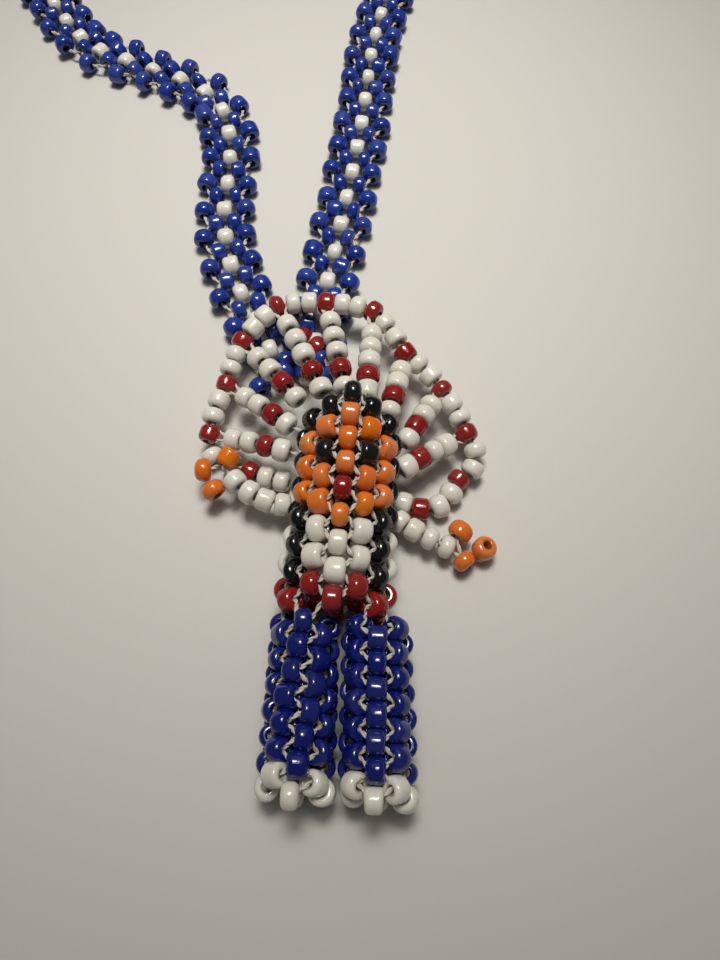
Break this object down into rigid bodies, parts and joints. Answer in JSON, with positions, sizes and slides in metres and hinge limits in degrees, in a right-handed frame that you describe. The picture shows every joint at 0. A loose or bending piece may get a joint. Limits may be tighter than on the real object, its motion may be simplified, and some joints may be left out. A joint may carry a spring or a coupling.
{
  "type": "beaded figure",
  "caption": "Small human figure woven from glass seed beads: hollow tube body and legs, string arms, fan-shaped net headdress and a flat beaded neck strap.",
  "frame": {"origin": "on the plane the figure lies on, under its belt", "axes": "+Y from the belt to the head, +Z out of the figure's front, +X to the right as seen from the front"},
  "size_m": [0.104, 0.241, 0.012],
  "materials": {
    "orange_glass": "glossy opaque glass",
    "black_glass": "glossy opaque glass",
    "red_glass": "glossy opaque glass",
    "white_glass": "glossy, slightly translucent white glass",
    "blue_glass": "glossy opaque glass",
    "strap_beads": "blue and white glass beads sewn into a flat daisy chain",
    "white_thread": "twisted two-ply thread"
  },
  "bodies": {
    "torso": {"face_beads": "orange_glass", "left_eye_bead": "black_glass", "right_eye_bead": "black_glass", "mouth_bead": "red_glass", "hair_beads": "black_glass", "chest_beads": "white_glass", "back_beads": "white_glass", "belt_beads": "red_glass", "torso_thread": "white_thread", "headdress_tail_white_beads": "white_glass", "headdress_tail_red_bead": "red_glass", "headdress_tail_thread": "white_thread", "strap_join_beads": "red_glass", "strap_join_thread": "white_thread", "neck_strap_left": "strap_beads", "neck_strap_right": "strap_beads", "neck_strap_coil": "strap_beads"},
    "left_leg": {"left_leg_beads": "blue_glass", "left_foot_beads": "white_glass", "left_leg_thread": "white_thread"},
    "right_leg": {"right_leg_beads": "blue_glass", "right_foot_beads": "white_glass", "right_leg_thread": "white_thread"},
    "left_arm": {"left_arm_beads": "white_glass", "left_hand_beads": "orange_glass", "left_arm_thread": "white_thread"},
    "right_arm": {"right_arm_beads": "white_glass", "right_hand_beads": "orange_glass", "right_arm_thread": "white_thread"},
    "headdress_left": {"headdress_left_white_beads": "white_glass", "headdress_left_red_beads": "red_glass", "headdress_left_thread": "white_thread"},
    "headdress_top": {"headdress_top_white_beads": "white_glass", "headdress_top_red_beads": "red_glass", "headdress_top_thread": "white_thread"},
    "headdress_right": {"headdress_right_white_beads": "white_glass", "headdress_right_red_beads": "red_glass", "headdress_right_thread": "white_thread"}
  },
  "joints": [
    {"name": "left_hip", "type": "hinge", "parent": "torso", "child": "left_leg", "pos_m": [-0.00295, -0.00165, 0.0098], "axis": [-1, 0, 0], "range_deg": [0, 35]},
    {"name": "right_hip", "type": "hinge", "parent": "torso", "child": "right_leg", "pos_m": [0.005, -0.00165, 0.0098], "axis": [-1, 0, 0], "range_deg": [0, 35]},
    {"name": "left_shoulder", "type": "hinge", "parent": "torso", "child": "left_arm", "pos_m": [-0.0069, 0.0119, 0.0062], "axis": [0, 1, 0], "range_deg": [0, 70]},
    {"name": "right_shoulder", "type": "hinge", "parent": "torso", "child": "right_arm", "pos_m": [0.0069, 0.0109, 0.0056], "axis": [0, -1, 0], "range_deg": [0, 70]},
    {"name": "headdress_top_fold", "type": "hinge", "parent": "torso", "child": "headdress_top", "pos_m": [-0.001, 0.025, 0.0096], "axis": [1, 0, 0], "range_deg": [0, 20]},
    {"name": "headdress_left_fold", "type": "hinge", "parent": "torso", "child": "headdress_left", "pos_m": [-0.00675, 0.02, 0.00705], "axis": [0, 1, 0], "range_deg": [0, 20]},
    {"name": "headdress_right_fold", "type": "hinge", "parent": "torso", "child": "headdress_right", "pos_m": [0.0064, 0.021, 0.0078], "axis": [0.3, -0.9539, 0], "range_deg": [0, 20]}
  ],
  "couplings": [
    {"joint": "headdress_left_fold", "follows": "headdress_top_fold", "ratio": 1},
    {"joint": "headdress_right_fold", "follows": "headdress_top_fold", "ratio": 1}
  ]
}
